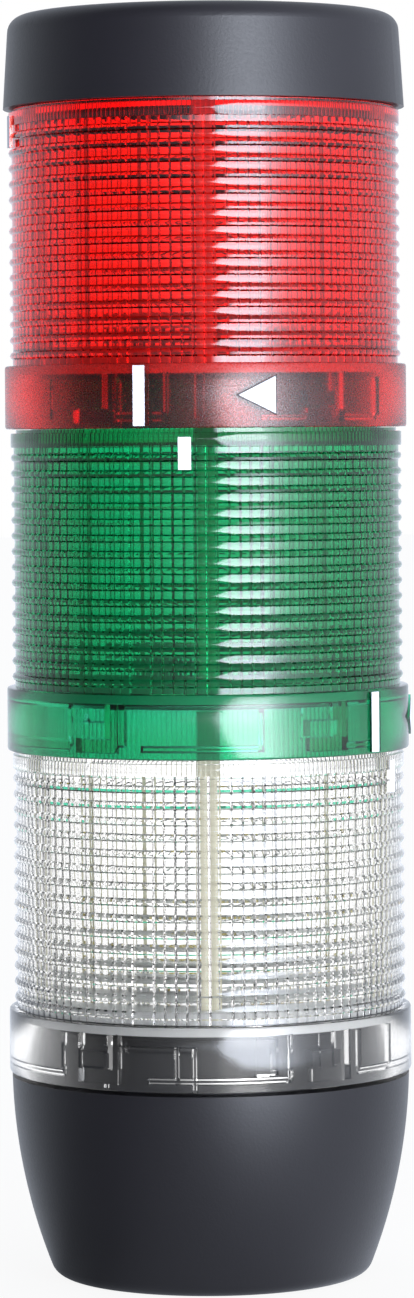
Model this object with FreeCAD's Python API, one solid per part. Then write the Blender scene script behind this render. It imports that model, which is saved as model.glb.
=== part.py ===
"""Modular stack light for a machine: a black base, three light modules and a black cap.

Each light module is one transparent moulding, with a smooth collar at its foot, a ribbed lens
and a neck on top. The collar of each piece fits over the neck below and locks by a short
clockwise turn, seen from above. Five brass rails in each module carry the circuits upwards, and
each module stands one circuit, a fifth of a turn, round from the module below it.

Millimetres and degrees. +Z is up, the origin is the centre of the base's underside, and
angles round the stack are counted from the front (-Y), anticlockwise seen from above.
"""
import FreeCAD, Part
import math
import os
from FreeCAD import Vector

# ---- the stack
MODULE_RADIUS = 35.0          # outside of a collar
BASE_HEIGHT = 35.6            # from the underside to the foot of the first collar
COLLAR_HEIGHT = 11.0
LENS_HEIGHT = 44.1            # ribbed lens and its smooth top band
JOINT_GAP = 0.7               # shadow gap under each collar and under the cap
CIRCUITS = 5                  # rails, bayonet lugs and stacking positions in one turn
UNLOCK_TURN = 12.0            # from locked to free to lift
TOP_BAR_ANGLE = -18.0         # where the top module's alignment bar faces
MODULE_COLOURS = ["clear", "green", "red"]   # from the base upwards

# ---- the transparent moulding
COLLAR_WALL = 2.0
COLLAR_CHAMFER = 0.4
LENS_STEP = 1.4               # from the collar in to the lens between its ribs
LENS_WALL = 2.4
RIB_COUNT = 15
RIB_HEIGHT = 0.5
RIB_WIDTH = 1.4
RIB_MARGIN = 0.65             # from a smooth end to the first rib's crest, in rib pitches
TOP_BAND = 2.5
FLUTE_COUNT = 105             # upright flutes round the inside of the lens
FLUTE_DEPTH = 0.25
SHOULDER = 2.0                # thickness of the shoulder between lens and neck
FLANGE = 1.8                  # thickness of the inner flange at the top of the collar

# ---- bayonet neck and seal
NECK_WALL = 2.0
LUG_DEPTH = 2.0
LUG_HEIGHT = 2.4
LUG_ANGLE = 10.0              # around the stack
LEDGE_ANGLE = -18.0           # from the bar to the nearest lug and ledge
LEDGE_LIFT = 1.2              # from the foot of the collar to its ledges
LEDGE_HEIGHT = 2.2
TURN_CLEARANCE = 0.4          # radially, between necks and collars
LOCK_CLEARANCE = 0.3          # between a lug and its ledge, and between the ends of two rails
STOP_WIDTH = 1.6              # the web at the end of each ledge
SEAL_HEIGHT = 1.0
SEAL_INSET = 0.2              # the seal lies this far in from both edges of the neck
SEAL_GAP = 0.2

# ---- alignment marks
MARK_PROUD = 0.5
BAR_WIDTH = 2.7
ARROW_LENGTH = 7.1
ARROW_HEIGHT = 6.9
ARROW_ANGLE = 32.0            # from the bar to the middle of the arrow
TAB_WIDTH = 2.2
TAB_HEIGHT = 5.5
TAB_DROP = 0.8                # from the shoulder down to the tab
MARK_ROOT = 0.3               # how deep a mark is joined to the surface behind it

# ---- inside a module
RAIL_ANGLE = 18.0             # from the bar to the nearest rail
RAIL_WIDTH = 3.6
RAIL_THICKNESS = 0.8
RAIL_CLEARANCE = 0.4          # between the rails and the bore of the necks
SLOT_CLEARANCE = 0.1
CARRIER_THICKNESS = 2.0
POST_COUNT = 3
POST_CIRCLE = 12.0
POST_RADIUS = 2.4
POST_HEIGHT = 4.0
BOARD_MARGIN = 9.9            # from the rails in to the LED board, bridged by the feed clips
BOARD_THICKNESS = 1.6
SCREW_RADIUS = 1.25
SCREW_GRIP = 3.0              # length of a board screw in its post
SCREW_HEAD_RADIUS = 2.2
SCREW_HEAD_HEIGHT = 1.4
SCREW_CLEARANCE = 0.05
DRIVE_SIDES = 6
DRIVE_RADIUS = 0.9            # hexagon socket in each screw head
DRIVE_DEPTH = 0.8
LED_COUNT = 8
LED_CIRCLE = 7.0
LED_LENGTH = 3.5
LED_WIDTH = 2.8
LED_HEIGHT = 1.0
CLIP_THICKNESS = 0.5
CLIP_WIDTH = 2.6

# ---- cap
CAP_HEIGHT = 16.2
CAP_TAPER = 1.0               # the cap's top is this much narrower in radius
CAP_WALL = 2.0
CAP_CORNER = 3.0

# ---- base
BASE_TOP_INSET = 0.4          # base radii, in from the collar's: top, half height, foot
BASE_MIDDLE_INSET = 2.4
BASE_FOOT_INSET = 7.8
BASE_WALL = 2.6
BASE_FLOOR = 4.0
BASE_CORNER = 3.0
SOCKET_RADIUS = 12.6          # takes a 25 mm tube
SOCKET_DEPTH = 18.0
SOCKET_WALL = 3.4
CABLE_RADIUS = 8.0
SOCKET_LIP = 2.5
CLAMP_SCREW_RADIUS = 2.0
CLAMP_SCREW_HEIGHT = 10.0
CLAMP_SCREW_RECESS = 0.4      # its point stays this far behind the socket's wall
CLAMP_SCREW_STAND_OUT = 1.2   # its driven end stands out of the socket's wall
ACCESS_RADIUS = 2.6

# ---- terminals in the base
BLOCK_THICKNESS = 2.6
BLOCK_CLEARANCE = 0.3
BLOCK_SEAT = 1.6              # width of the step that the terminal block lies on
TERMINAL_INSET = 9.6          # from the bore of the neck in to the terminals' circle
CHAMBER_WALL = 1.0
CHAMBER_DEPTH = 9.6
CLAMP_LENGTH = 7.4            # radially
CLAMP_WIDTH = 7.0
CLAMP_HEIGHT = 8.0
WIRE_RADIUS = 1.9
TERMINAL_SCREW_RADIUS = 1.5
TERMINAL_HEAD_RADIUS = 2.8
CONTACT_TAIL = 6.0            # length of a contact's leg inside its chamber

# ---- worked out from the sizes above
PITCH = COLLAR_HEIGHT + LENS_HEIGHT + JOINT_GAP
STEP_ANGLE = 360.0 / CIRCUITS
COLLAR_BORE = MODULE_RADIUS - COLLAR_WALL
LUG_RADIUS = COLLAR_BORE - TURN_CLEARANCE
NECK_RADIUS = LUG_RADIUS - LUG_DEPTH
NECK_BORE = NECK_RADIUS - NECK_WALL
NECK_RISE = COLLAR_HEIGHT - FLANGE - SEAL_GAP - SEAL_HEIGHT   # above the foot of the collar
LENS_RADIUS = MODULE_RADIUS - LENS_STEP
CREST_RADIUS = LENS_RADIUS + RIB_HEIGHT
LENS_BORE = LENS_RADIUS - LENS_WALL
FLANGE_BORE = NECK_BORE + SEAL_INSET
RAIL_OUTSIDE = NECK_BORE - RAIL_CLEARANCE
RAIL_INSIDE = RAIL_OUTSIDE - RAIL_THICKNESS
BOARD_RADIUS = RAIL_INSIDE - BOARD_MARGIN
RAIL_TOP = NECK_RISE - TURN_CLEARANCE       # above the foot of the collar around it
RAIL_FOOT = RAIL_TOP + LOCK_CLEARANCE
TERMINAL_CIRCLE = NECK_BORE - TERMINAL_INSET
BOARD_UNDERSIDE = COLLAR_HEIGHT + CARRIER_THICKNESS + POST_HEIGHT
BLOCK_UNDERSIDE = BASE_HEIGHT + JOINT_GAP
STACK_TOP = BASE_HEIGHT + len(MODULE_COLOURS) * PITCH
AXIS = Vector(0, 0, 1)
FRONT = -90.0                 # the front's direction, counted from +X


# ---------------------------------------------------------------- building blocks
def revolved(points, turn=360.0):
    """Turn a closed outline of (radius, height) points round the stack's axis."""
    corners = [Vector(radius, 0, height) for radius, height in points]
    face = Part.Face(Part.makePolygon(corners + corners[:1]))
    return face.revolve(Vector(0, 0, 0), AXIS, turn)


def turned(shape, angle):
    """A copy of the shape, turned round the stack's axis."""
    copy = shape.copy()
    copy.rotate(Vector(0, 0, 0), AXIS, angle)
    return copy


def lifted(shape, height):
    """A copy of the shape, moved up."""
    copy = shape.copy()
    copy.translate(Vector(0, 0, height))
    return copy


def sector(inside, outside, low, high, middle, width):
    """A piece of a ring, with its middle at an angle from the front."""
    outline = [(inside, low), (outside, low), (outside, high), (inside, high)]
    return turned(revolved(outline, width), FRONT + middle - width / 2)


def width_angle(width, radius):
    """The angle that a width takes up at a radius."""
    return math.degrees(width / radius)


def radial_box(inside, outside, low, high, width, angle=0.0):
    """A straight box that lies along a radius."""
    box = Part.makeBox(outside - inside, width, high - low, Vector(inside, -width / 2, low))
    return turned(box, FRONT + angle)


def upright(radius, low, high, distance=0.0, angle=0.0):
    """An upright round bar at a distance from the axis."""
    bar = Part.makeCylinder(radius, high - low, Vector(distance, 0, low))
    return turned(bar, FRONT + angle)


def around(count, make, start=0.0):
    """Copies of one piece, evenly spaced round the axis."""
    step = 360.0 / count
    return [make(start + number * step) for number in range(count)]


def joined(solid, pieces):
    """One solid made of all the pieces."""
    return solid.fuse(pieces).removeSplitter()


def write(name, shape):
    """Write one node, which is a solid or a group of separate solids."""
    shape.exportStep("parts/" + name + ".step")


# ---------------------------------------------------------------- bayonet
def lugs():
    """The lugs that stand out of a neck, at heights above the foot of the collar around them."""
    low = LEDGE_LIFT + LEDGE_HEIGHT + LOCK_CLEARANCE
    root = NECK_RADIUS - MARK_ROOT
    return around(CIRCUITS, lambda angle: sector(
        root, LUG_RADIUS, low, low + LUG_HEIGHT, angle, LUG_ANGLE), LEDGE_ANGLE)


def ledges():
    """The L-shaped ledges inside a collar: a foot under each lug and a web that stops it."""
    inside = NECK_RADIUS + TURN_CLEARANCE
    outside = COLLAR_BORE + MARK_ROOT
    top = COLLAR_HEIGHT - FLANGE + MARK_ROOT
    play = width_angle(LOCK_CLEARANCE, LUG_RADIUS)
    web = width_angle(STOP_WIDTH, COLLAR_BORE)
    web_place = LUG_ANGLE / 2 + play + web / 2
    foot_width = LUG_ANGLE + play + web
    foot_place = web_place + web / 2 - foot_width / 2
    feet = around(CIRCUITS, lambda angle: sector(
        inside, outside, LEDGE_LIFT, LEDGE_LIFT + LEDGE_HEIGHT, angle, foot_width),
        LEDGE_ANGLE + foot_place)
    webs = around(CIRCUITS, lambda angle: sector(
        inside, outside, LEDGE_LIFT, top, angle, web), LEDGE_ANGLE + web_place)
    return feet + webs


def seal():
    """The flat rubber ring that lies on a neck."""
    inside = NECK_BORE + SEAL_INSET
    outside = NECK_RADIUS - SEAL_INSET
    top = NECK_RISE + SEAL_HEIGHT
    return revolved([(inside, NECK_RISE), (outside, NECK_RISE), (outside, top), (inside, top)])


# ---------------------------------------------------------------- alignment marks
def bar_mark():
    """The long bar over the whole height of a collar."""
    return sector(MODULE_RADIUS - MARK_ROOT, MODULE_RADIUS + MARK_PROUD, COLLAR_CHAMFER,
                  COLLAR_HEIGHT - COLLAR_CHAMFER, 0.0, width_angle(BAR_WIDTH, MODULE_RADIUS))


def arrow_mark():
    """The raised triangle that points the way the piece turns to lock."""
    middle = COLLAR_HEIGHT / 2
    back, tip = ARROW_LENGTH / 2, -ARROW_LENGTH / 2
    corners = [Vector(tip, 0, middle), Vector(back, 0, middle - ARROW_HEIGHT / 2),
               Vector(back, 0, middle + ARROW_HEIGHT / 2)]
    face = Part.Face(Part.makePolygon(corners + corners[:1]))
    prism = face.extrude(Vector(0, -2 * MODULE_RADIUS, 0))
    skin = sector(MODULE_RADIUS - MARK_ROOT, MODULE_RADIUS + MARK_PROUD, 0.0, COLLAR_HEIGHT,
                  0.0, STEP_ANGLE)
    return turned(prism.common(skin), ARROW_ANGLE)


def tab_mark(radius, shoulder, angle):
    """The short tab under a joint, which shows where the piece above goes on."""
    high = shoulder - TAB_DROP
    return sector(radius - MARK_ROOT, radius + MARK_PROUD, high - TAB_HEIGHT, high, angle,
                  width_angle(TAB_WIDTH, radius))


def tab_angle():
    """From a module's own bar to its tab: the bar of the next module stops short of it."""
    return UNLOCK_TURN - STEP_ANGLE


# ---------------------------------------------------------------- a light module
def lens_outline():
    """Half section of the moulding: collar, inner flange, ribbed lens, shoulder and neck."""
    shoulder = PITCH - JOINT_GAP
    band = shoulder - TOP_BAND
    rib_pitch = (band - COLLAR_HEIGHT) / (RIB_COUNT - 1 + 2 * RIB_MARGIN)
    outside = [(COLLAR_BORE, 0.0), (MODULE_RADIUS - COLLAR_CHAMFER, 0.0),
               (MODULE_RADIUS, COLLAR_CHAMFER), (MODULE_RADIUS, COLLAR_HEIGHT - COLLAR_CHAMFER),
               (MODULE_RADIUS - COLLAR_CHAMFER, COLLAR_HEIGHT), (LENS_RADIUS, COLLAR_HEIGHT)]
    for number in range(RIB_COUNT):
        crest = COLLAR_HEIGHT + (RIB_MARGIN + number) * rib_pitch
        outside += [(LENS_RADIUS, crest - RIB_WIDTH / 2), (CREST_RADIUS, crest),
                    (LENS_RADIUS, crest + RIB_WIDTH / 2)]
    outside += [(LENS_RADIUS, band), (CREST_RADIUS, band), (CREST_RADIUS, shoulder)]
    neck = [(NECK_RADIUS, shoulder), (NECK_RADIUS, PITCH + NECK_RISE),
            (NECK_BORE, PITCH + NECK_RISE), (NECK_BORE, shoulder - SHOULDER)]
    bore = LENS_BORE - 2 * FLUTE_DEPTH
    inside = [(bore, shoulder - SHOULDER), (bore, COLLAR_HEIGHT),
              (FLANGE_BORE, COLLAR_HEIGHT), (FLANGE_BORE, COLLAR_HEIGHT - FLANGE),
              (COLLAR_BORE, COLLAR_HEIGHT - FLANGE)]
    return outside + neck + inside


def fluted_room():
    """The room inside the lens: a prism whose wall has an upright ridge between two flutes."""
    height = LENS_HEIGHT - SHOULDER
    corners = []
    for number in range(2 * FLUTE_COUNT):
        angle = math.pi * number / FLUTE_COUNT
        radius = LENS_BORE - FLUTE_DEPTH * (number % 2)
        corners.append(Vector(radius * math.cos(angle), radius * math.sin(angle), COLLAR_HEIGHT))
    face = Part.Face(Part.makePolygon(corners + corners[:1]))
    return face.extrude(Vector(0, 0, height))


def lens():
    """The transparent moulding of a light module, with its own bar at the front."""
    features = ledges() + [lifted(lug, PITCH) for lug in lugs()]
    features += [bar_mark(), arrow_mark(), tab_mark(CREST_RADIUS, PITCH - JOINT_GAP, tab_angle())]
    return joined(revolved(lens_outline()).cut(fluted_room()), features)


def rails():
    """The brass rails that pass every circuit on to the module above."""
    return Part.makeCompound(around(CIRCUITS, lambda angle: radial_box(
        RAIL_INSIDE, RAIL_OUTSIDE, RAIL_FOOT, PITCH + RAIL_TOP, RAIL_WIDTH, angle)))


def rail_slots(low, high):
    """Room for the rails in a disc that they pass through."""
    return around(CIRCUITS, lambda angle: radial_box(
        RAIL_INSIDE - SLOT_CLEARANCE, RAIL_OUTSIDE + SLOT_CLEARANCE, low, high,
        RAIL_WIDTH + 2 * SLOT_CLEARANCE, angle))


def carrier():
    """The disc that lies on the inner flange, holds the rails and carries the LED board."""
    top = COLLAR_HEIGHT + CARRIER_THICKNESS
    disc = upright(LENS_BORE - FLUTE_DEPTH - BLOCK_CLEARANCE, COLLAR_HEIGHT, top)
    posts = around(POST_COUNT, lambda angle: upright(
        POST_RADIUS, COLLAR_HEIGHT, BOARD_UNDERSIDE, POST_CIRCLE, angle))
    holes = around(POST_COUNT, lambda angle: upright(
        SCREW_RADIUS + SCREW_CLEARANCE, BOARD_UNDERSIDE - SCREW_GRIP, BOARD_UNDERSIDE,
        POST_CIRCLE, angle))
    return joined(disc, posts).cut(rail_slots(COLLAR_HEIGHT, top) + holes)


def led_board():
    """The round circuit board."""
    top = BOARD_UNDERSIDE + BOARD_THICKNESS
    disc = upright(BOARD_RADIUS, BOARD_UNDERSIDE, top)
    return disc.cut(around(POST_COUNT, lambda angle: upright(
        SCREW_RADIUS + SCREW_CLEARANCE, BOARD_UNDERSIDE, top, POST_CIRCLE, angle)))


def leds():
    """The LED chips: one in the middle and a ring around it."""
    low = BOARD_UNDERSIDE + BOARD_THICKNESS
    chips = around(LED_COUNT, lambda angle: radial_box(
        LED_CIRCLE - LED_LENGTH / 2, LED_CIRCLE + LED_LENGTH / 2, low, low + LED_HEIGHT,
        LED_WIDTH, angle))
    middle = radial_box(-LED_LENGTH / 2, LED_LENGTH / 2, low, low + LED_HEIGHT, LED_WIDTH)
    return Part.makeCompound(chips + [middle])


def screw(radius, head_radius, point, seat, head_height):
    """An upright cheese-head screw on the axis, with a hexagon socket."""
    top = seat + head_height
    body = upright(radius, point, seat).fuse(upright(head_radius, seat, top))
    turns = [2 * math.pi * side / DRIVE_SIDES for side in range(DRIVE_SIDES)]
    corners = [Vector(DRIVE_RADIUS * math.cos(turn), DRIVE_RADIUS * math.sin(turn), top)
               for turn in turns]
    drive = Part.Face(Part.makePolygon(corners + corners[:1])).extrude(Vector(0, 0, -DRIVE_DEPTH))
    return body.removeSplitter().cut(drive)


def screws_around(count, circle, one):
    """A group of equal upright screws on a circle."""
    placed = one.copy()
    placed.translate(Vector(circle, 0, 0))
    return Part.makeCompound(around(count, lambda angle: turned(placed, FRONT + angle)))


def board_screws():
    """The screws that hold the board on its posts."""
    seat = BOARD_UNDERSIDE + BOARD_THICKNESS
    one = screw(SCREW_RADIUS, SCREW_HEAD_RADIUS, BOARD_UNDERSIDE - SCREW_GRIP, seat,
                SCREW_HEAD_HEIGHT)
    return screws_around(POST_COUNT, POST_CIRCLE, one)


def feed_clips():
    """Two brass strips from neighbouring rails, along the carrier and up to the board."""
    floor = COLLAR_HEIGHT + CARRIER_THICKNESS
    leg_outside = BOARD_RADIUS - CLIP_THICKNESS
    leg_inside = leg_outside - CLIP_THICKNESS
    foot = radial_box(leg_inside, RAIL_INSIDE, floor, floor + CLIP_THICKNESS, CLIP_WIDTH)
    leg = radial_box(leg_inside, leg_outside, floor, BOARD_UNDERSIDE, CLIP_WIDTH)
    strip = foot.fuse(leg).removeSplitter()
    return Part.makeCompound([turned(strip, number * STEP_ANGLE) for number in range(2)])


def module_pieces():
    """Every piece of one light module, at the foot of its collar, with its bar at the front."""
    inside = {"carrier": carrier(), "rails": rails(), "led_board": led_board(), "leds": leds(),
              "board_screws": board_screws(), "feed_clips": feed_clips()}
    pieces = {name: turned(shape, RAIL_ANGLE) for name, shape in inside.items()}
    pieces["lens"] = lens()
    pieces["seal"] = lifted(seal(), PITCH)
    return pieces


# ---------------------------------------------------------------- cap
def cap():
    """The cap: a tapered cup with the collar's ledges inside and a rib that meets the seal."""
    roof = CAP_HEIGHT - CAP_WALL
    rib_foot = COLLAR_HEIGHT - FLANGE
    top_radius = MODULE_RADIUS - CAP_TAPER
    skirt_top = rib_foot + MARK_ROOT
    outline = [(COLLAR_BORE, 0.0), (MODULE_RADIUS, 0.0), (top_radius, CAP_HEIGHT),
               (0.0, CAP_HEIGHT), (0.0, roof), (FLANGE_BORE, roof), (FLANGE_BORE, rib_foot),
               (NECK_RADIUS, rib_foot), (NECK_RADIUS, roof), (top_radius - CAP_WALL, roof),
               (top_radius - CAP_WALL, skirt_top), (COLLAR_BORE, skirt_top)]
    shell = revolved(outline)
    rim = [edge for edge in shell.Edges
           if edge.BoundBox.ZMin > CAP_HEIGHT - JOINT_GAP and edge.BoundBox.XMax > NECK_RADIUS]
    return joined(shell.makeFillet(CAP_CORNER, rim), ledges())


# ---------------------------------------------------------------- base
def base_shell():
    """Half section of the base turned to a solid: bowl, neck, tube socket and cable lip."""
    shoulder = BASE_HEIGHT - JOINT_GAP
    neck_top = BASE_HEIGHT + NECK_RISE
    foot = MODULE_RADIUS - BASE_FOOT_INSET
    seat_bore = NECK_BORE - BLOCK_SEAT
    socket_outside = SOCKET_RADIUS + SOCKET_WALL
    socket_top = SOCKET_DEPTH + SOCKET_LIP
    side = Part.Arc(Vector(foot, 0, 0),
                    Vector(MODULE_RADIUS - BASE_MIDDLE_INSET, 0, shoulder / 2),
                    Vector(MODULE_RADIUS - BASE_TOP_INSET, 0, shoulder)).toShape()
    rest = [(MODULE_RADIUS - BASE_TOP_INSET, shoulder), (NECK_RADIUS, shoulder),
            (NECK_RADIUS, neck_top), (NECK_BORE, neck_top), (NECK_BORE, BLOCK_UNDERSIDE),
            (seat_bore, BLOCK_UNDERSIDE), (seat_bore, BLOCK_UNDERSIDE - BASE_WALL),
            (foot - BASE_WALL, BASE_FLOOR), (socket_outside, BASE_FLOOR),
            (socket_outside, socket_top), (CABLE_RADIUS, socket_top),
            (CABLE_RADIUS, SOCKET_DEPTH), (SOCKET_RADIUS, SOCKET_DEPTH), (SOCKET_RADIUS, 0.0),
            (foot, 0.0)]
    line = Part.makePolygon([Vector(radius, 0, height) for radius, height in rest])
    face = Part.Face(Part.Wire([side] + line.Edges))
    shell = face.revolve(Vector(0, 0, 0), AXIS, 360.0)
    corner = [edge for edge in shell.Edges
              if edge.BoundBox.ZMax < JOINT_GAP and edge.BoundBox.XMax > socket_outside]
    return shell.makeFillet(BASE_CORNER, corner)


def clamp_hole(radius, inside, outside):
    """A level round bar from the axis towards the back, at the tube screw's height."""
    return Part.makeCylinder(radius, outside - inside, Vector(0, inside, CLAMP_SCREW_HEIGHT),
                             Vector(0, 1, 0))


def base_housing():
    """The base, with its lugs, its tab and the holes for the tube screw."""
    first_bar = TOP_BAR_ANGLE + (len(MODULE_COLOURS) - 1) * STEP_ANGLE
    shoulder = BASE_HEIGHT - JOINT_GAP
    tab = tab_mark(MODULE_RADIUS - BASE_TOP_INSET, shoulder, first_bar + UNLOCK_TURN)
    turned_lugs = [turned(lifted(lug, BASE_HEIGHT), first_bar) for lug in lugs()]
    body = joined(base_shell(), turned_lugs + [tab])
    thread = clamp_hole(CLAMP_SCREW_RADIUS + SCREW_CLEARANCE, 0.0, SOCKET_RADIUS + SOCKET_WALL)
    access = clamp_hole(ACCESS_RADIUS, SOCKET_RADIUS + SOCKET_WALL, MODULE_RADIUS)
    return body.cut([thread, access])


def tube_screw():
    """The headless screw that clamps the tube in its socket."""
    point = SOCKET_RADIUS + CLAMP_SCREW_RECESS
    end = SOCKET_RADIUS + SOCKET_WALL + CLAMP_SCREW_STAND_OUT
    drive = clamp_hole(DRIVE_RADIUS, end - DRIVE_DEPTH, end)
    return clamp_hole(CLAMP_SCREW_RADIUS, point, end).cut(drive)


# ---------------------------------------------------------------- terminals
def contact_leg():
    """Inside and outside radius of the leg of a base contact, just outside its clamp."""
    inside = TERMINAL_CIRCLE + CLAMP_LENGTH / 2 + SLOT_CLEARANCE
    return inside, inside + RAIL_THICKNESS


def terminal_block():
    """The disc with a chamber under it for each terminal and a way for the cable."""
    low, high = BLOCK_UNDERSIDE, BLOCK_UNDERSIDE + BLOCK_THICKNESS
    pocket_inside = TERMINAL_CIRCLE - CLAMP_LENGTH / 2 - SLOT_CLEARANCE
    leg_inside, leg_outside = contact_leg()
    pocket_outside = leg_outside + SLOT_CLEARANCE
    pocket_width = CLAMP_WIDTH + 2 * SLOT_CLEARANCE
    disc = upright(NECK_BORE - BLOCK_CLEARANCE, low, high)
    chambers = around(CIRCUITS, lambda angle: radial_box(
        pocket_inside - CHAMBER_WALL, pocket_outside + CHAMBER_WALL, low - CHAMBER_DEPTH,
        high, pocket_width + 2 * CHAMBER_WALL, angle))
    pockets = around(CIRCUITS, lambda angle: radial_box(
        pocket_inside, pocket_outside, low - CHAMBER_DEPTH, low, pocket_width, angle))
    slots = around(CIRCUITS, lambda angle: radial_box(
        leg_inside - SLOT_CLEARANCE, pocket_outside, low, high,
        RAIL_WIDTH + 2 * SLOT_CLEARANCE, angle))
    holes = around(CIRCUITS, lambda angle: upright(
        TERMINAL_SCREW_RADIUS + SLOT_CLEARANCE, low, high, TERMINAL_CIRCLE, angle))
    cable = upright(CABLE_RADIUS, low, high)
    return joined(disc, chambers).cut(pockets + slots + holes + [cable])


def terminal_clamps():
    """The brass wire clamps, each with a wire hole from below and a screw hole above it."""
    top = BLOCK_UNDERSIDE
    low = top - CLAMP_HEIGHT
    middle = top - CLAMP_HEIGHT / 2

    def one(angle):
        block = radial_box(TERMINAL_CIRCLE - CLAMP_LENGTH / 2, TERMINAL_CIRCLE + CLAMP_LENGTH / 2,
                           low, top, CLAMP_WIDTH, angle)
        wire = upright(WIRE_RADIUS, low, middle, TERMINAL_CIRCLE, angle)
        thread = upright(TERMINAL_SCREW_RADIUS + SCREW_CLEARANCE, middle, top, TERMINAL_CIRCLE,
                         angle)
        return block.cut([wire, thread])

    return Part.makeCompound(around(CIRCUITS, one))


def terminal_screws():
    """The screws of the wire clamps, with their heads on the block."""
    seat = BLOCK_UNDERSIDE + BLOCK_THICKNESS
    one = screw(TERMINAL_SCREW_RADIUS, TERMINAL_HEAD_RADIUS, BLOCK_UNDERSIDE - CLAMP_HEIGHT / 2,
                seat, SCREW_HEAD_HEIGHT)
    return screws_around(CIRCUITS, TERMINAL_CIRCLE, one)


def base_contacts():
    """The brass contacts from the clamps, over the block and up inside the neck."""
    floor = BLOCK_UNDERSIDE + BLOCK_THICKNESS
    leg_inside, leg_outside = contact_leg()

    def one(angle):
        leg = radial_box(leg_inside, leg_outside, BLOCK_UNDERSIDE - CONTACT_TAIL,
                         floor + RAIL_THICKNESS, RAIL_WIDTH, angle)
        foot = radial_box(leg_inside, RAIL_OUTSIDE, floor, floor + RAIL_THICKNESS, RAIL_WIDTH,
                          angle)
        blade = radial_box(RAIL_INSIDE, RAIL_OUTSIDE, floor, BASE_HEIGHT + RAIL_TOP, RAIL_WIDTH,
                           angle)
        return leg.fuse([foot, blade]).removeSplitter()

    return Part.makeCompound(around(CIRCUITS, one))


# ---------------------------------------------------------------- the stack
def build():
    """Make every piece once and write it at each of its places."""
    os.makedirs("parts", exist_ok=True)
    first_bar = TOP_BAR_ANGLE + (len(MODULE_COLOURS) - 1) * STEP_ANGLE

    write("base_housing", base_housing())
    write("tube_screw", tube_screw())
    inside_base = {"terminal_block": terminal_block(), "terminal_clamps": terminal_clamps(),
                   "terminal_screws": terminal_screws(), "base_contacts": base_contacts(),
                   "base_seal": lifted(seal(), BASE_HEIGHT)}
    for name, shape in inside_base.items():
        write(name, turned(shape, first_bar + RAIL_ANGLE))

    pieces = module_pieces()
    for level, colour in enumerate(MODULE_COLOURS):
        foot = BASE_HEIGHT + level * PITCH
        bar = first_bar - level * STEP_ANGLE
        for name, shape in pieces.items():
            write(name + "_" + colour, turned(lifted(shape, foot), bar))

    write("cap", turned(lifted(cap(), STACK_TOP), TOP_BAR_ANGLE))


build()
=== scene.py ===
"""Looks of a modular stack light: ribbed transparent mouldings, printed marks, moulded black plastic.

Lengths are in millimetres until a mesh is made, and in metres after that. +Z is up and the front
is -Y. Angles round the stack are degrees from the front, anticlockwise seen from above.
"""
import math
import bmesh
import bpy
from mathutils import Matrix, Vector


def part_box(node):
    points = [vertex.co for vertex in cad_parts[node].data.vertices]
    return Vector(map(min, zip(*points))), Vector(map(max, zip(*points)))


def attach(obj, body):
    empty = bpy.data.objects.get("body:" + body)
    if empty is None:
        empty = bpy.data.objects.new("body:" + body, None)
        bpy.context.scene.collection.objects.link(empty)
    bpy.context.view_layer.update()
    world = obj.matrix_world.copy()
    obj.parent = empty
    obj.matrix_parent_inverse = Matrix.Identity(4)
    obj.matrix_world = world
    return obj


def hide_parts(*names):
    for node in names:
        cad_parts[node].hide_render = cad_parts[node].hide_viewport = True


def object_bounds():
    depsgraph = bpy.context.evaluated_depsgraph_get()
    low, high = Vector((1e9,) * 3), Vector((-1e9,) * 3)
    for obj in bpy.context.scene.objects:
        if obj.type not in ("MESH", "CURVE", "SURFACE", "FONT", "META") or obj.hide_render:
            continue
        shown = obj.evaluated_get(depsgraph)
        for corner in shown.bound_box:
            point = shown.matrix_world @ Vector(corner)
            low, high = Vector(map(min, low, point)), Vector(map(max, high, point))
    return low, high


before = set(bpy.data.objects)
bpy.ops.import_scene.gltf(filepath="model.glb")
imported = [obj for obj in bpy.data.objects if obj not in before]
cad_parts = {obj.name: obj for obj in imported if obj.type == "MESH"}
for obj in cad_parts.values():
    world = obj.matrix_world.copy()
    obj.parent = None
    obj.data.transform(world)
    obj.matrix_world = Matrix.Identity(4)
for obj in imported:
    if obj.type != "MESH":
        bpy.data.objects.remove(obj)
cad_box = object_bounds()

# ---- sizes of the mouldings, as in the construction
MM = 0.001
COLOURS = ["clear", "green", "red"]    # from the base upwards
TOP_BAR_ANGLE = -18.0
STEP_ANGLE = 72.0             # from one module's bar to the next one's
MODULE_RADIUS = 35.0
COLLAR_BORE = 33.0
COLLAR_HEIGHT = 11.0
COLLAR_ROUNDING = 0.4
FLANGE_FOOT = 10.8            # underside of the clear part of the inner flange
FLANGE_BORE = 28.8
LENS_RADIUS = 33.6            # between the ribs
LENS_BORE = 31.2
RIB_COUNT = 15
RIB_HEIGHT = 0.5
RIB_WIDTH = 1.4
RIB_MARGIN = 0.65             # from a smooth end to the first crest, in rib pitches
VALLEY_DEPTH = 0.07           # the bands between the ribs are slightly hollow
TOP_BAND = 2.5
JOINT_GAP = 0.7
SHOULDER = 2.0
NECK_RADIUS = 30.6
NECK_BORE = 28.6
NECK_RISE = 8.0
NECK_RIDGE = 0.12             # fine ridges inside the neck, two to a flute
RIM_RADIUS = 32.9             # white ring under the flange
RIM_BORE = 28.9
RIM_SPAN = (9.15, 10.75)      # its foot and top, above the foot of the collar
STEP_RADIUS = 33.2            # low step on the shoulder, under the next collar
STEP_GAP = 0.12
LUG_DEPTH = 2.0
LUG_ANGLE = 10.0
LEDGE_ANGLE = -18.0
LEDGE_SPAN = (1.2, 3.4)       # foot and top of a ledge, above the foot of its collar
LUG_SPAN = (3.7, 6.1)         # the same for the lugs of the neck below
LUG_EDGE = 0.05               # a lug's upper and lower faces slope over this, up and down
LUG_ROOM = 0.3                # relief no deeper than this where the lugs below swing past
LUG_FREE_HEIGHT = 0.35        # and this far above and below them
LUG_FREE_ANGLE = 1.25         # and this far to either side
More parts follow.
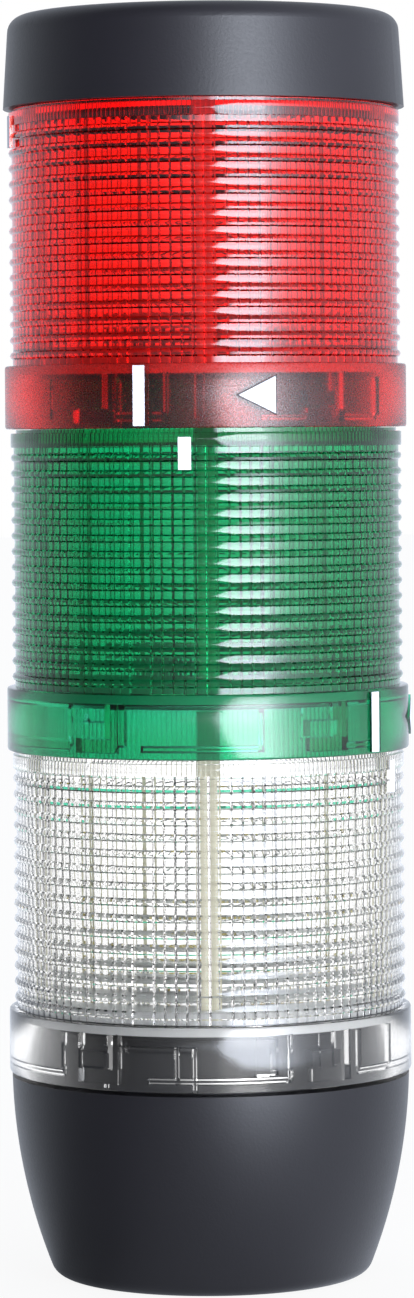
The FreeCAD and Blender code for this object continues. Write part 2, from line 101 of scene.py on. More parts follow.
TWIST = 12.0                  # the turn that unlocks a module
LEDGE_DEPTH = 2.0
STOP_ANGLE = 2.8
FLUTE_COUNT = 105
FLUTE_SLOPE = 17.0            # of a flute's round floor where it meets a ridge
RIDGE_WIDTH = 0.46            # sharp ridges part the flutes
RIDGE_HEIGHT = 0.42
FLUTE_COLUMNS = 6             # columns of the mesh to a flute, an even number
SECTORS = 15                  # equal parts that a moulding's mesh is spun from
BAND_ROUNDING = (0.15, 0.2)   # of the top band, at its foot and at its top
RIB_SHARPNESS = 0.7           # below 1 a rib is fuller than a half sine
ON_SURFACE = 0.01             # a point this near to a radius belongs to that surface

# ---- alignment marks
MARK_PROUD = 0.5
BAR_WIDTH = 2.7
ARROW_ANGLE = 32.0
ARROW_LENGTH = 7.1
ARROW_HEIGHT = 6.9
TAB_ANGLE = -60.0
TAB_WIDTH = 2.2
TAB_HEIGHT = 5.5
TAB_DROP = 0.8
PRINT_THICKNESS = 0.06
PRINT_MARGIN = 0.22           # an arrow's print stops short of its edge
BAR_PRINT = 2.1               # width of the print on a bar, from its left edge
BOSS_ROOT = 0.05              # a boss starts this far inside the surface it stands on
EDGE_SHADE_GAP = 0.005           # the painted shade round an arrow stays this far free of the boss behind it and of the print before it

foot = {colour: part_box("lens_" + colour)[0].z / MM for colour in COLOURS}
PITCH = foot["green"] - foot["clear"]
bar_angle = {colour: TOP_BAR_ANGLE + (2 - level) * STEP_ANGLE
             for level, colour in enumerate(COLOURS)}


# ---------------------------------------------------------------- materials
def linear(code):
    """The linear colour of an sRGB hex code."""
    parts = [int(code[start:start + 2], 16) / 255 for start in (1, 3, 5)]
    return tuple(part / 12.92 if part <= 0.04045 else ((part + 0.055) / 1.055) ** 2.4
                 for part in parts) + (1.0,)


def add(tree, kind, inputs=None, **settings):
    """Add a node, with its settings, its socket values and the links into it."""
    made = tree.nodes.new("ShaderNode" + kind)
    for name, value in settings.items():
        setattr(made, name, value)
    for name, value in (inputs or {}).items():
        if isinstance(value, bpy.types.NodeSocket):
            tree.links.new(value, made.inputs[name])
        else:
            made.inputs[name].default_value = value
    return made


def new_material(name, **sockets):
    """A material with one Principled shader, whose constant values are set on its sockets."""
    material = bpy.data.materials.new(name)
    material.use_nodes = True
    shader = material.node_tree.nodes["Principled BSDF"]
    for socket, value in sockets.items():
        shader.inputs[socket.replace("_", " ")].default_value = value
    return material, material.node_tree, shader


# Noise scales are cells to a metre. Grain is drawn at 0.3 to 0.5 mm, coarser than the real 0.1 mm,
# so that it shows.
ABS_GRAIN = 2200.0            # 0.45 mm
ABS_CLOUDS = 45.0             # 22 mm
ETCHED_GRAIN = 3200.0         # 0.3 mm


def moulded_abs_black():
    """Black ABS from a spark-eroded tool: a soft satin with a fine grain and faint clouds."""
    material, tree, shader = new_material("moulded_abs_black", IOR=1.53, Specular_IOR_Level=0.42)
    place = add(tree, "TexCoord").outputs["Object"]
    grain = add(tree, "TexNoise", {"Vector": place, "Scale": ABS_GRAIN, "Detail": 2.0})
    cloud = add(tree, "TexNoise", {"Vector": place, "Scale": ABS_CLOUDS, "Detail": 4.0})
    tint = add(tree, "ValToRGB", {"Fac": cloud.outputs["Fac"]})
    tint.color_ramp.elements[0].color = linear("#141216")
    tint.color_ramp.elements[1].color = linear("#1c1a1f")
    rough = add(tree, "MapRange", {"Value": grain.outputs["Fac"], "To Min": 0.34, "To Max": 0.46})
    bump = add(tree, "Bump", {"Height": grain.outputs["Fac"], "Strength": 0.3,
                              "Distance": 0.06 * MM})
    tree.links.new(tint.outputs["Color"], shader.inputs["Base Color"])
    tree.links.new(rough.outputs["Result"], shader.inputs["Roughness"])
    tree.links.new(bump.outputs["Normal"], shader.inputs["Normal"])
    return material


def polycarbonate(name, tint, depth_tint, depth_density, etching):
    """Transparent polycarbonate: deep clear colour, polished but for the collar's outside.

    The collar's outside is etched, so what it mirrors and what is behind it is slightly soft.
    """
    material, tree, shader = new_material(name, Base_Color=linear(tint), IOR=1.585,
                                          Transmission_Weight=1.0)
    place = add(tree, "TexCoord").outputs["Object"]
    across = add(tree, "VectorMath", {0: place, 1: (1.0, 1.0, 0.0)}, operation="MULTIPLY")
    radius = add(tree, "VectorMath", {0: across.outputs[0]}, operation="LENGTH")
    etched = add(tree, "MapRange", {"Value": radius.outputs["Value"],
                                    "From Min": (MODULE_RADIUS - COLLAR_ROUNDING) * MM,
                                    "From Max": (MODULE_RADIUS - 0.1) * MM})
    speckle = add(tree, "TexNoise", {"Vector": place, "Scale": ETCHED_GRAIN, "Detail": 1.0})
    patchy = add(tree, "MapRange", {"Value": speckle.outputs["Fac"], "To Min": etching * 0.6,
                                    "To Max": etching * 1.4})
    rough = add(tree, "Math", {0: etched.outputs["Result"], 1: patchy.outputs["Result"]},
                operation="MULTIPLY")
    grain = add(tree, "MapRange", {"Value": etched.outputs["Result"], "To Min": 0.02,
                                   "To Max": etching})
    bump = add(tree, "Bump", {"Height": speckle.outputs["Fac"],
                              "Strength": grain.outputs["Result"], "Distance": 0.03 * MM})
    tree.links.new(rough.outputs["Value"], shader.inputs["Roughness"])
    tree.links.new(bump.outputs["Normal"], shader.inputs["Normal"])
    if depth_density:
        depth = add(tree, "VolumeAbsorption", {"Color": depth_tint, "Density": depth_density})
        tree.links.new(depth.outputs["Volume"], tree.nodes["Material Output"].inputs["Volume"])
    return material


def plain(name, low, high, scale, roughness, strength=0.1, **sockets):
    """A finish whose colour drifts between two shades, with a fine unevenness in its surface.

    The scale is cells to a metre: 500 is a drift over 2 mm.
    """
    material, tree, shader = new_material(name, **sockets)
    place = add(tree, "TexCoord").outputs["Object"]
    drift = add(tree, "TexNoise", {"Vector": place, "Scale": scale, "Detail": 4.0})
    tint = add(tree, "ValToRGB", {"Fac": drift.outputs["Fac"]})
    tint.color_ramp.elements[0].color = linear(low)
    tint.color_ramp.elements[1].color = linear(high)
    rough = add(tree, "MapRange", {"Value": drift.outputs["Fac"], "To Min": roughness * 0.85,
                                   "To Max": roughness * 1.15})
    bump = add(tree, "Bump", {"Height": drift.outputs["Fac"], "Strength": strength,
                              "Distance": 0.05 * MM})
    tree.links.new(tint.outputs["Color"], shader.inputs["Base Color"])
    tree.links.new(rough.outputs["Result"], shader.inputs["Roughness"])
    tree.links.new(bump.outputs["Normal"], shader.inputs["Normal"])
    return material


black = moulded_abs_black()
glassy = {
    "clear": polycarbonate("polycarbonate_clear", "#ffffff", None, 0.0, 0.14),
    "green": polycarbonate("polycarbonate_green", "#66e8cc", (0.0, 0.7, 0.5, 1.0), 470.0, 0.15),
    "red": polycarbonate("polycarbonate_red", "#ff8470", (0.97, 0.0, 0.0, 1.0), 360.0, 0.27),
}
finishes = {
    # white pad print: flat and a little chalky
    "print": plain("pad_print_white", "#dcdfea", "#e4e7f1", 900.0, 0.5),
    # painted shade, not print: a thin dark flat line round the arrows, standing in for the shade on
    # the boss's edge
    "painted_edge_shade": plain("dark_painted_shade_line", "#1c1012", "#241618", 900.0, 0.5),
    # natural white polycarbonate, moulded smooth: a soft and even white
    "carrier": plain("moulded_polycarbonate_white", "#f2f4f4", "#fafbfb", 60.0, 0.4),
    # rolled brass strip, slightly dulled: a warm yellow with soft lights
    "brass": plain("rolled_brass", "#c9a94f", "#e3cb7c", 260.0, 0.3, Metallic=1.0),
    # tinned brass strip: pale straw with hardly any shine
    "rail": plain("tinned_brass", "#f4f0d2", "#fdfae4", 260.0, 0.45, Metallic=0.2),
    # zinc-plated steel: a cool bright grey
    "steel": plain("zinc_plated_steel", "#b9bcc0", "#d2d4d6", 400.0, 0.3, Metallic=1.0),
    # white solder mask over glass cloth: smooth and slightly glossy
    "board": plain("solder_mask_white", "#e6e8e6", "#eff1ef", 700.0, 0.3, 0.1),
    # phosphor over the LED chips: small warm yellow squares
    "led": plain("led_phosphor", "#e8d36a", "#f3e7a0", 900.0, 0.5),
    # moulded rubber: a dull black, almost without lights
    "rubber": plain("moulded_rubber_black", "#151515", "#222222", 500.0, 0.75, 0.3),
    # glass-filled nylon of the terminal block: a dull and slightly uneven black
    "terminal": plain("glass_filled_nylon", "#1c1c1f", "#2a2a2e", 800.0, 0.6, 0.3),
}


# ---------------------------------------------------------------- mesh helpers
def place(radius, angle, height):
    """A point in metres, from millimetres and degrees from the front."""
    turn = math.radians(angle)
    return Vector((radius * math.sin(turn), -radius * math.cos(turn), height)) * MM


def finished(bm, name, material, body, sharp=35.0):
    """Turn a bmesh into a smooth-shaded piece of the object."""
    mesh = bpy.data.meshes.new(name)
    bm.to_mesh(mesh)
    bm.free()
    mesh.shade_smooth()
    mesh.set_sharp_from_angle(angle=math.radians(sharp))
    mesh.materials.append(material)
    piece = bpy.data.objects.new(name, mesh)
    bpy.context.scene.collection.objects.link(piece)
    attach(piece, body)
    return piece


def spun(outline):
    """A closed solid of an outline of (radius, height) points, spun round the stack's axis.

    One sector is spun first and then repeated round the axis.
    """
    columns = FLUTE_COUNT * FLUTE_COLUMNS // SECTORS
    sector = 2 * math.pi / SECTORS
    axis = {"cent": (0, 0, 0), "axis": (0, 0, 1), "dvec": (0, 0, 0)}
    bm = bmesh.new()
    corners = [bm.verts.new((radius * MM, 0.0, height * MM)) for radius, height in outline]
    edges = [bm.edges.new(pair) for pair in zip(corners, corners[1:] + corners[:1])]
    bmesh.ops.spin(bm, geom=corners + edges, angle=sector, steps=columns, **axis)
    bmesh.ops.spin(bm, geom=bm.verts[:] + bm.edges[:] + bm.faces[:], steps=SECTORS - 1,
                   angle=sector * (SECTORS - 1), use_duplicate=True, **axis)
    bmesh.ops.remove_doubles(bm, verts=bm.verts, dist=0.001 * MM)
    bmesh.ops.recalc_face_normals(bm, faces=bm.faces)
    return bm


def ring_places(bm):
    """Each vertex with its radius, its angle from the front and its height, in millimetres."""
    for vertex in bm.verts:
        x, y, z = vertex.co / MM
        yield vertex, math.hypot(x, y), math.degrees(math.atan2(x, -y)), z


def set_radius(vertex, radius, angle):
    """Move a vertex in or out to a radius."""
    vertex.co.xy = place(radius, angle, 0.0).xy


# ---------------------------------------------------------------- transparent mouldings
def rounded(radius, height, turn_in, turn_up, size):
    """Three points that round a corner of an outline."""
    near = size * (1 - math.sqrt(0.5))
    return [(radius + turn_in[0] * size, height + turn_in[1] * size),
            (radius + (turn_in[0] + turn_up[0]) * near, height + (turn_in[1] + turn_up[1]) * near),
            (radius + turn_up[0] * size, height + turn_up[1] * size)]


def rib_outline():
    """The outside of the ribbed lens: half-round beads with shallow hollows between them."""
    band = PITCH - JOINT_GAP - TOP_BAND
    pitch = (band - COLLAR_HEIGHT) / (RIB_COUNT - 1 + 2 * RIB_MARGIN)
    hollow = pitch - RIB_WIDTH
    points = []
    for number in range(RIB_COUNT):
        crest = COLLAR_HEIGHT + (RIB_MARGIN + number) * pitch
        if number:
            for share in (-0.3, 0.0, 0.3):
                sunk = VALLEY_DEPTH * (1 - (2 * share) ** 2)
                points.append((LENS_RADIUS - sunk, crest - pitch / 2 + hollow * share))
        for share in (0.0, 0.2, 0.5, 0.8, 1.0):
            rise = RIB_HEIGHT * math.sin(math.pi * share) ** RIB_SHARPNESS
            points.append((LENS_RADIUS + rise, crest + RIB_WIDTH * (share - 0.5)))
    return points


# Heights of the mesh's rows inside a collar, at the edges of the ledges and of the relief. The
# first one stays on the bore.
WALL_ROWS = [9.3, 9.0, 8.8, 8.4, 7.6, 7.2, 6.4, 5.5, 4.6, 3.9,
             3.5, 3.3, 2.9, 2.5, 2.1, 1.7, 1.3, 1.1, 0.5]


def lens_outline():
    """Half section of one moulding, from the foot of its collar round to the foot again."""
    band_foot, band_top = BAND_ROUNDING
    shoulder = PITCH - JOINT_GAP
    band = shoulder - TOP_BAND
    crest = LENS_RADIUS + RIB_HEIGHT
    outline = [(COLLAR_BORE, 0.0)]
    outline += rounded(MODULE_RADIUS, 0.0, (-1, 0), (0, 1), COLLAR_ROUNDING)
    outline += rounded(MODULE_RADIUS, COLLAR_HEIGHT, (0, -1), (-1, 0), COLLAR_ROUNDING)
    outline += [(LENS_RADIUS, COLLAR_HEIGHT)] + rib_outline()
    outline += [(LENS_RADIUS, band)] + rounded(crest, band, (-1, 0), (0, 1), band_foot)
    outline += rounded(crest, shoulder, (0, -1), (-1, 0), band_top)
    outline += [(STEP_RADIUS, shoulder), (STEP_RADIUS, PITCH - STEP_GAP),
                (NECK_RADIUS, PITCH - STEP_GAP)]
    for edge in LUG_SPAN:
        outline += [(NECK_RADIUS, PITCH + edge - LUG_EDGE), (NECK_RADIUS, PITCH + edge + LUG_EDGE)]
    outline += [(NECK_RADIUS, PITCH + NECK_RISE), (NECK_BORE, PITCH + NECK_RISE),
                (NECK_BORE, shoulder - SHOULDER), (LENS_BORE, shoulder - SHOULDER),
                (LENS_BORE, COLLAR_HEIGHT), (FLANGE_BORE, COLLAR_HEIGHT),
                (FLANGE_BORE, FLANGE_FOOT), (COLLAR_BORE, FLANGE_FOOT)]
    return outline + [(COLLAR_BORE, height) for height in WALL_ROWS]


def in_fifth(angle, start, middle, width):
    """Whether an angle is within a feature that comes five times round the stack."""
    off = (angle - start - middle + STEP_ANGLE / 2) % STEP_ANGLE - STEP_ANGLE / 2
    return abs(off) <= width / 2


# Raised lines inside each collar: from and to in degrees from the front, foot and top, depth.
RELIEF = {
    "clear": [(-47.9, -46.9, 2.0, 8.8, 0.6), (-90, -47, 1.7, 2.5, 0.6), (-41.3, -40.2, 2.9, 9.2, 0.9),
              (-41, -32, 2.5, 3.5, 0.9), (-32.2, -31.1, 0.5, 7.2, 0.6), (-32, -4.5, 6.9, 7.4, 0.6),
              (-5.0, -4.0, 0.5, 7.2, 0.6), (-10.4, -9.4, 2.1, 7.2, 0.6), (-18, 23.5, 1.3, 2.3, 0.7),
              (23.0, 24.1, 1.7, 9.2, 0.6), (33.0, 37.6, 2.9, 9.2, 0.7), (33, 42, 2.5, 3.3, 0.7),
              (47.2, 48.4, 2.0, 8.8, 0.6), (47.5, 90, 1.7, 2.5, 0.6), (62.8, 63.9, 2.0, 8.8, 0.6),
              (13.0, 19.4, 2.5, 8.6, 0.8)],
    "green": [(-44.0, -42.6, 2.2, 9.2, 0.6), (-90, -44, 1.6, 2.9, 0.6), (-28.0, -25.4, 2.2, 9.0, 1.7),
              (-33, -27, 2.0, 2.8, 0.9), (-19.5, 15.8, 1.4, 2.4, 0.7), (15.0, 16.2, 1.6, 7.6, 0.7),
              (27.2, 28.2, 3.3, 7.6, 0.6), (37.0, 38.2, 3.1, 8.4, 0.6), (29.5, 56, 1.4, 2.4, 0.7),
              (-37.5, -36.5, 2.2, 6.4, 0.5), (-90, 90, 8.5, 8.9, 0.3)],
    "red": [(-30.9, -29.6, 2.6, 7.5, 0.8), (-30, -12.5, 1.5, 2.5, 0.7), (-12.0, -10.6, 2.5, 9.2, 0.6),
            (-3.0, -0.8, 1.6, 9.2, 0.7), (-38.4, -37.2, 1.3, 2.9, 0.6), (-51, -50, 2.0, 8.0, 0.4),
            (58.0, 60.2, 2.3, 7.6, 0.8), (16, 58, 1.4, 2.3, 0.5), (-26, -25, 0.5, 8.0, 0.4)],
}


def wall_stands_in(colour, angle, height):
    """How far the wall inside a collar stands in: ledges with their stops, and raised lines."""
    start = bar_angle[colour] + LEDGE_ANGLE
    on_ledge = in_fifth(angle, start, STOP_ANGLE / 2, LUG_ANGLE + STOP_ANGLE)
    on_stop = in_fifth(angle, start, LUG_ANGLE / 2 + STOP_ANGLE / 2, STOP_ANGLE)
    low, high = LEDGE_SPAN
    if on_ledge and low <= height <= high or on_stop and low <= height:
        return LEDGE_DEPTH
    deepest = max([deep for first, last, low, high, deep in RELIEF[colour]
                   if first <= angle <= last and low <= height <= high], default=0.0)
    lug_low, lug_high = LUG_SPAN
    beside_lug = in_fifth(angle, start, -TWIST / 2, LUG_ANGLE + TWIST + 2 * LUG_FREE_ANGLE)
    if beside_lug and lug_low - LUG_FREE_HEIGHT <= height <= lug_high + LUG_FREE_HEIGHT:
        return min(deepest, LUG_ROOM)
    return deepest


def fluted(angle):
    """Radius and angle of an even column of the bore's mesh, once it follows the flutes."""
    flute, column = divmod(round(angle / 360 * FLUTE_COUNT * FLUTE_COLUMNS), FLUTE_COLUMNS)
    width = 2 * math.pi * LENS_BORE / FLUTE_COUNT
    half_floor = (width - RIDGE_WIDTH) / 2
    floor_radius = half_floor / math.sin(math.radians(FLUTE_SLOPE))
    if column == 0:
        share, rise = 0.0, RIDGE_HEIGHT
    else:
        from_middle = (column - FLUTE_COLUMNS / 2) / (FLUTE_COLUMNS / 2 - 1)
        share = 0.5 + from_middle * half_floor / width
        across = width * (share - 0.5)
        rise = floor_radius - math.sqrt(floor_radius ** 2 - across ** 2)
    return LENS_BORE - rise, (flute + share) * 360 / FLUTE_COUNT


def lens(colour):
    """One transparent moulding, with the flutes inside it and the relief inside its collar."""
    bm = spun(lens_outline())
    lug_low, lug_high = LUG_SPAN
    for vertex, radius, angle, height in ring_places(bm):
        if abs(radius - LENS_BORE) < ON_SURFACE:
            set_radius(vertex, *fluted(angle))
        elif abs(radius - NECK_BORE) < ON_SURFACE:
            column = round(angle / 360 * FLUTE_COUNT * FLUTE_COLUMNS) % (FLUTE_COLUMNS // 2)
            set_radius(vertex, NECK_BORE - (0.0 if column else NECK_RIDGE), angle)
        elif (abs(radius - COLLAR_BORE) < ON_SURFACE
              and ON_SURFACE < height < WALL_ROWS[0] - ON_SURFACE):
            set_radius(vertex, COLLAR_BORE - wall_stands_in(colour, angle, height), angle)
        elif (abs(radius - NECK_RADIUS) < ON_SURFACE
              and PITCH + lug_low < height < PITCH + lug_high):
            start = bar_angle[colour] + LEDGE_ANGLE
            if in_fifth(angle, start, 0.0, LUG_ANGLE):
                set_radius(vertex, NECK_RADIUS + LUG_DEPTH, angle)
    bmesh.ops.translate(bm, verts=bm.verts, vec=(0, 0, foot[colour] * MM))
    piece = finished(bm, "lens_moulding_" + colour, glassy[colour], colour + "_module",
                     sharp=28.0)
    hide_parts("lens_" + colour)
    return piece


def rim(colour):
    """The white ring under a carrier, just inside the collar and over the neck below."""
    low, high = (foot[colour] + height for height in RIM_SPAN)
    bm = spun([(RIM_BORE, low), (RIM_RADIUS, low), (RIM_RADIUS, high), (RIM_BORE, high)])
    finished(bm, "carrier_rim_" + colour, finishes["carrier"], colour + "_module")


# ---------------------------------------------------------------- raised and printed marks
def raised(corners, angle, inside, outside):
    """A flat-sided mark that follows a cylinder: its outline is (across, height) points."""
    bm = bmesh.new()
    back = [bm.verts.new(place(inside, angle + math.degrees(across / outside), height))
            for across, height in corners]
    face = bm.faces.new(back)
    front = bmesh.ops.extrude_face_region(bm, geom=[face])["geom"]
    for vertex in [item for item in front if isinstance(item, bmesh.types.BMVert)]:
        vertex.co.xy = vertex.co.xy * (outside / inside)
    bmesh.ops.recalc_face_normals(bm, faces=bm.faces)
    return bm


def rectangle(width, low, high, shown=None):
    """The corners of an upright rectangle, or of the part shown from its left edge."""
    left = -width / 2
    right = left + (shown or width)
    return [(left, low), (right, low), (right, high), (left, high)]


def triangle(length, height, middle, margin=0.0):
    """The corners of a triangle that points left, with its edges drawn in by a margin."""
    slope = math.atan2(height / 2, length)
    tip = -length / 2 + margin / math.sin(slope)
    back = length / 2 - margin
    half = (back - tip) * math.tan(slope)
    return [(tip, middle), (back, middle - half), (back, middle + half)]


def marks(colour):
    """The bar, the arrow and the tab of one module: raised bosses with printed faces, and a thin dark
    line of painted shade round the arrow for its boss's shaded edge.
    """
    bar = bar_angle[colour]
    low = foot[colour]
    tab_top = low + PITCH - JOINT_GAP - TAB_DROP
    crest = LENS_RADIUS + RIB_HEIGHT
    drawn = {
        "bar": (bar, MODULE_RADIUS, lambda margin: rectangle(
            BAR_WIDTH, low + COLLAR_ROUNDING, low + COLLAR_HEIGHT - COLLAR_ROUNDING,
            BAR_PRINT if margin else None)),
        "arrow": (bar + ARROW_ANGLE, MODULE_RADIUS, lambda margin: triangle(
            ARROW_LENGTH, ARROW_HEIGHT, low + COLLAR_HEIGHT / 2, margin)),
        "tab": (bar + TAB_ANGLE, crest, lambda margin: rectangle(
            TAB_WIDTH, tab_top - TAB_HEIGHT, tab_top)),
    }
    for name, (angle, radius, outline) in drawn.items():
        face = radius + MARK_PROUD - PRINT_THICKNESS
        boss = raised(outline(0.0), angle, radius - BOSS_ROOT, face)
        finished(boss, f"{name}_boss_{colour}", glassy[colour], colour + "_module")
        print_face = raised(outline(PRINT_MARGIN), angle, face + PRINT_THICKNESS / 2,
                            radius + MARK_PROUD)
        finished(print_face, f"{name}_print_{colour}", finishes["print"], colour + "_module")
        # round the arrow, a dark triangle under the print: painted shade along the boss's edge
        if name == "arrow":
            painted_edge_shade = raised(outline(0.0), angle, face + EDGE_SHADE_GAP,
                             face + PRINT_THICKNESS / 2 - EDGE_SHADE_GAP)
            finished(painted_edge_shade, "arrow_painted_edge_shade_" + colour, finishes["painted_edge_shade"], colour + "_module")


# ---------------------------------------------------------------- dress the carried-over pieces
def dress():
    """Give each carried-over piece its finish."""
    finish_of = {"base_housing": black, "cap": black, "tube_screw": finishes["steel"],
                 "terminal_block": finishes["terminal"], "terminal_clamps": finishes["brass"],
                 "terminal_screws": finishes["steel"], "base_contacts": finishes["brass"],
                 "base_seal": finishes["rubber"]}
    for colour in COLOURS:
        finish_of["seal_" + colour] = finishes["rubber"]
        finish_of["carrier_" + colour] = finishes["carrier"]
        finish_of["rails_" + colour] = finishes["rail"]
        finish_of["led_board_" + colour] = finishes["board"]
        finish_of["leds_" + colour] = finishes["led"]
        finish_of["board_screws_" + colour] = finishes["steel"]
        finish_of["feed_clips_" + colour] = finishes["brass"]
    for name, material in finish_of.items():
        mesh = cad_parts[name].data
        mesh.materials.clear()
        mesh.materials.append(material)


# ---------------------------------------------------------------- studio
ROOM_TINT = "#e9f1ff"
KEY_LIGHT = 11.5              # brightest part of the tall soft window, against the white behind
KEY_LIFT = 0.06               # sine of the height of its middle over the horizon
FLOOR_SHARE = 0.9             # how much of the floor glows evenly, so that its shadow is faint
FLOOR_GLOW = 1.01
# For each angle from the front: light of the window, half its height as a sine, light of the
# walls, and how bright the same direction is through the mouldings.
WALLS = [(-180, 0.0, 0.0, 1.0, 0.66), (-130, 0.0, 0.0, 0.95, 0.66), (-100, 0.0, 0.0, 0.55, 0.58),
         (-78, 0.0, 0.0, 0.14, 0.18), (-48, 0.0, 0.0, 0.12, 0.07), (-22, 0.0, 0.0, 0.4, 0.12),
         (3, 0.7, 0.0, 0.5, 0.5), (9, 1.0, 0.13, 0.5, 1.0), (18, 1.0, 0.25, 0.55, 1.0),
         (34, 1.0, 0.26, 0.7, 1.0), (40, 0.6, 0.26, 0.8, 0.7), (49, 0.24, 0.24, 0.9, 0.4),
         (62, 0.08, 0.2, 1.0, 0.25), (90, 0.0, 0.1, 1.0, 0.45), (180, 0.0, 0.0, 1.0, 0.66)]
THROUGH = 2.4                 # brightness of the window through the mouldings
STEEP_SHARE = 0.05            # what is left of it overhead and underfoot
STEEP_LIFT = (0.34, 0.66)     # sines between which it fades
WINDOW_EDGE = 0.03            # half width of the window's soft edge, as a sine
FLOOR_LIGHT = 0.15            # what the floor adds to the walls that are mirrored
FLOOR_EYE = 0.04              # height in metres from which the floor's directions are told


def walls(tree, way, lift):
    """The room in a direction: what is mirrored there, and what is seen there through glass.

    Pale walls, darker in front and to the left, and one tall soft window to the right of the
    middle. Through the mouldings the walls are dim overhead and underfoot. The lift is added to
    what is mirrored.
    """
    part = add(tree, "SeparateXYZ", {"Vector": way})
    near = add(tree, "Math", {0: part.outputs["Y"], 1: -1.0}, operation="MULTIPLY")
    turn = add(tree, "Math", {0: part.outputs["X"], 1: near.outputs[0]}, operation="ARCTAN2")
    ramp = add(tree, "ValToRGB", {"Fac": add(tree, "MapRange", {
        "Value": turn.outputs[0], "From Min": -math.pi, "From Max": math.pi}).outputs["Result"]})
    stops = ramp.color_ramp.elements
    while len(stops) < len(WALLS):
        stops.new(0.5)
    for stop, (angle, *levels) in zip(stops, WALLS):
        stop.position = 0.5 + angle / 360
        stop.color = levels
    level = add(tree, "SeparateColor", {"Color": ramp.outputs["Color"]})
    off = add(tree, "Math", {0: part.outputs["Z"], 1: KEY_LIFT}, operation="SUBTRACT")
    off = add(tree, "Math", {0: off.outputs[0]}, operation="ABSOLUTE")
    inside = add(tree, "Math", {0: level.outputs["Green"], 1: off.outputs[0]},
                 operation="SUBTRACT")
    edge = add(tree, "MapRange", {"Value": inside.outputs[0], "From Min": -WINDOW_EDGE,
                                  "From Max": WINDOW_EDGE, "To Max": KEY_LIGHT})
    window = add(tree, "Math", {0: level.outputs["Red"], 1: edge.outputs["Result"]},
                 operation="MULTIPLY")
    light = add(tree, "Math", {0: level.outputs["Blue"], 1: window.outputs[0]}, operation="ADD")
    mirrored = add(tree, "Math", {0: light.outputs[0], 1: lift}, operation="ADD")
    steep = add(tree, "MapRange", {"Value": off.outputs[0], "From Min": STEEP_LIFT[0],
                                   "From Max": STEEP_LIFT[1], "To Min": THROUGH,
                                   "To Max": THROUGH * STEEP_SHARE})
    through = add(tree, "Math", {0: ramp.outputs["Alpha"], 1: steep.outputs["Result"]},
                  operation="MULTIPLY")
    return mirrored.outputs[0], through.outputs[0]


def by_ray(tree, camera_shader, through_shader, other_shader):
    """One shader for what the camera sees, one for rays through glass, one for all others."""
    rays = add(tree, "LightPath")
    indirect = add(tree, "MixShader", {0: rays.outputs["Is Transmission Ray"],
                                       1: other_shader.outputs[0], 2: through_shader.outputs[0]})
    return add(tree, "MixShader", {0: rays.outputs["Is Camera Ray"], 1: indirect.outputs[0],
                                   2: camera_shader.outputs[0]}).outputs[0]


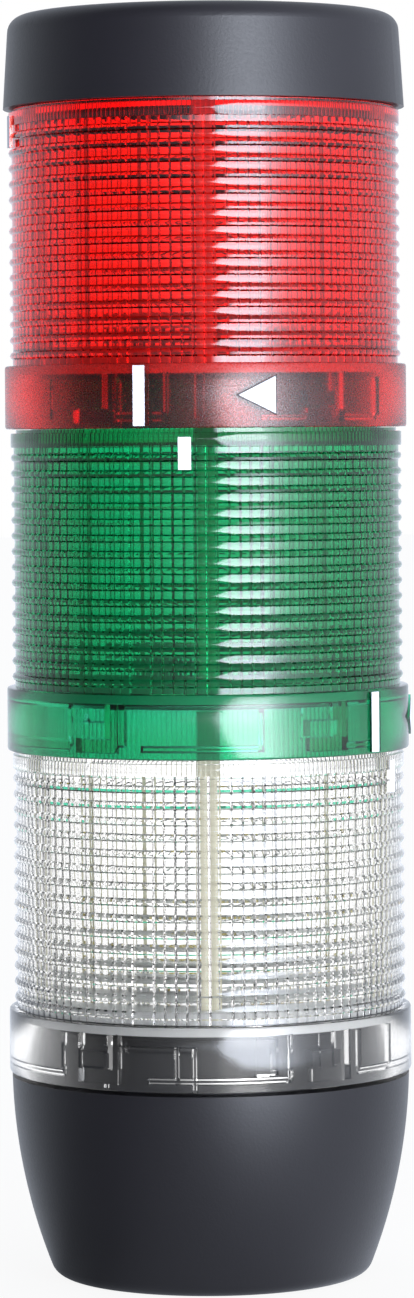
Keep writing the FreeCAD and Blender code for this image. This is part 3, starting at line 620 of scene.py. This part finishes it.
def studio():
    """A pale floor and a surround that is white to look at."""
    bm = bmesh.new()
    bmesh.ops.create_grid(bm, x_segments=1, y_segments=1, size=6.0)
    mesh = bpy.data.meshes.new("floor")
    bm.to_mesh(mesh)
    bm.free()
    floor = bpy.data.objects.new("floor", mesh)
    bpy.context.scene.collection.objects.link(floor)

    material = bpy.data.materials.new("paper_white")
    material.use_nodes = True
    tree = material.node_tree
    tree.nodes.clear()
    lit = add(tree, "BsdfDiffuse", {"Color": linear("#f4f4f4")})
    glow = add(tree, "Emission", {"Color": (1.0, 1.0, 1.0, 1.0), "Strength": FLOOR_GLOW})
    paper = add(tree, "MixShader", {0: FLOOR_SHARE, 1: lit.outputs[0], 2: glow.outputs[0]})
    middle = add(tree, "VectorMath", {0: add(tree, "TexCoord").outputs["Object"],
                                      1: (0.0, 0.0, FLOOR_EYE)}, operation="SUBTRACT")
    way = add(tree, "VectorMath", {0: middle.outputs[0]}, operation="NORMALIZE").outputs[0]
    mirrored, through = walls(tree, way, FLOOR_LIGHT)
    mirrored = add(tree, "Emission", {"Color": linear(ROOM_TINT), "Strength": mirrored})
    through = add(tree, "Emission", {"Color": (1.0, 1.0, 1.0, 1.0), "Strength": through})
    add(tree, "OutputMaterial", {"Surface": by_ray(tree, paper, through, mirrored)})
    mesh.materials.append(material)

    world = bpy.data.worlds.new("studio")
    bpy.context.scene.world = world
    world.use_nodes = True
    tree = world.node_tree
    tree.nodes.clear()
    mirrored, through = walls(tree, add(tree, "TexCoord").outputs["Generated"], 0.0)
    bare = add(tree, "Background", {"Color": (1.0, 1.0, 1.0, 1.0), "Strength": 1.0})
    mirrored = add(tree, "Background", {"Color": linear(ROOM_TINT), "Strength": mirrored})
    through = add(tree, "Background", {"Color": (1.0, 1.0, 1.0, 1.0), "Strength": through})
    add(tree, "OutputWorld", {"Surface": by_ray(tree, bare, through, mirrored)})


def soft_box(name, azimuth, elevation, distance, width, height, power):
    """A round-edged lamp that faces the middle of the stack."""
    lamp = bpy.data.lights.new(name, "AREA")
    lamp.shape = "ELLIPSE"
    lamp.size = width
    lamp.size_y = height
    lamp.energy = power
    middle = (cad_box[0] + cad_box[1]) / 2
    turn, lift = math.radians(azimuth), math.radians(elevation)
    way = Vector((math.sin(turn) * math.cos(lift), -math.cos(turn) * math.cos(lift),
                  math.sin(lift)))
    lamp_object = bpy.data.objects.new(name, lamp)
    lamp_object.location = middle + way * distance
    lamp_object.rotation_euler = way.to_track_quat("Z", "Y").to_euler()
    bpy.context.scene.collection.objects.link(lamp_object)


def camera():
    """A long lens at the height of the green module, level, with the view shifted down."""
    lens_length = 136.7
    distance = 0.861
    eye_height = 0.1468
    lean = 0.45               # degrees, the stack's top to the left
    view_down = -0.1685
    view_right = 0.0009
    data = bpy.data.cameras.new("camera")
    data.sensor_width = 36.0
    data.lens = lens_length
    data.shift_x = view_right
    data.shift_y = view_down
    viewer = bpy.data.objects.new("camera", data)
    viewer.location = (0.0, -distance, eye_height)
    viewer.rotation_euler = (math.pi / 2, math.radians(lean), 0.0)
    bpy.context.scene.collection.objects.link(viewer)
    bpy.context.scene.camera = viewer


for colour in COLOURS:
    lens(colour)
    rim(colour)
    marks(colour)
dress()
studio()
soft_box("key", azimuth=22.0, elevation=8.0, distance=1.0, width=0.5, height=0.35, power=1.2)
camera()
bpy.context.scene.view_settings.view_transform = "Standard"
